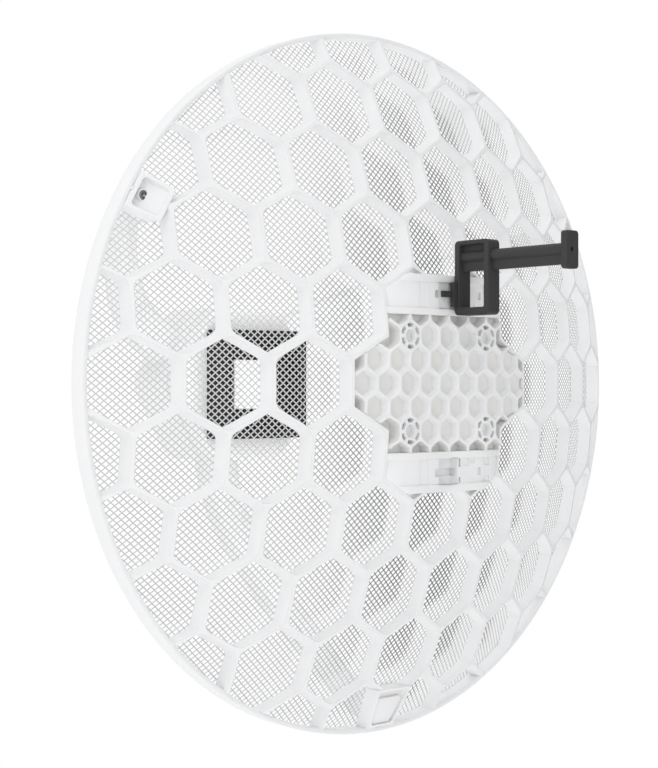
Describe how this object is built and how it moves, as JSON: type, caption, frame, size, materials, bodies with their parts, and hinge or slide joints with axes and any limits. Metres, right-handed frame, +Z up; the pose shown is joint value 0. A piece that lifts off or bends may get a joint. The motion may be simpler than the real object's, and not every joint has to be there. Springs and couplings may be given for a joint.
{
  "type": "wireless bridge dish antenna",
  "caption": "Grid dish antenna with honeycomb ribs, a pole bracket between saddles, curved feed arms, a central feed unit and a plug-in alignment sight.",
  "frame": {"origin": "on the rear face of the mount plate, at the junction of the pocket walls just above the dish axis", "axes": "+Z up, +Y out of the back of the dish towards the pole, the dish looks along -Y"},
  "size_m": [0.391, 0.302, 0.391],
  "materials": {
    "white_plastic": "satin white moulded plastic",
    "mesh_metal": "light grey coated wire mesh",
    "black_plastic": "matte black",
    "graphite_plastic": "fine matte dark grey",
    "screw_steel": "plain steel"
  },
  "bodies": {
    "root": {"rim_ring": "white_plastic", "rib_sector_1": "white_plastic", "rib_sector_2": "white_plastic", "rib_sector_3": "white_plastic", "rib_sector_4": "white_plastic", "rib_sector_5": "white_plastic", "rib_sector_6": "white_plastic", "reflector_mesh": "mesh_metal", "mount_plate": "white_plastic", "screw_boss_1": "white_plastic", "screw_boss_2": "white_plastic", "screw_boss_3": "white_plastic", "screw_boss_4": "white_plastic", "upper_channel": "white_plastic", "upper_left_lug": "white_plastic", "upper_right_lug": "white_plastic", "lower_channel": "white_plastic", "lower_left_lug": "white_plastic", "lower_right_lug": "white_plastic", "arm_pocket_left": "white_plastic", "arm_pocket_right": "white_plastic", "arm_pocket_bottom": "white_plastic", "arm_screw_left": "screw_steel", "arm_screw_right": "screw_steel", "feed_arm_left": "white_plastic", "feed_arm_right": "white_plastic", "feed_arm_bottom": "white_plastic", "feed_housing_front": "white_plastic", "feed_housing_rear": "white_plastic", "feed_tray": "black_plastic", "feed_patch": "white_plastic", "sight_frame": "graphite_plastic", "sight_bar_front": "graphite_plastic", "sight_bar": "graphite_plastic", "eye_plate": "graphite_plastic", "sight_base": "graphite_plastic", "sight_key": "graphite_plastic"}
  },
  "joints": []
}
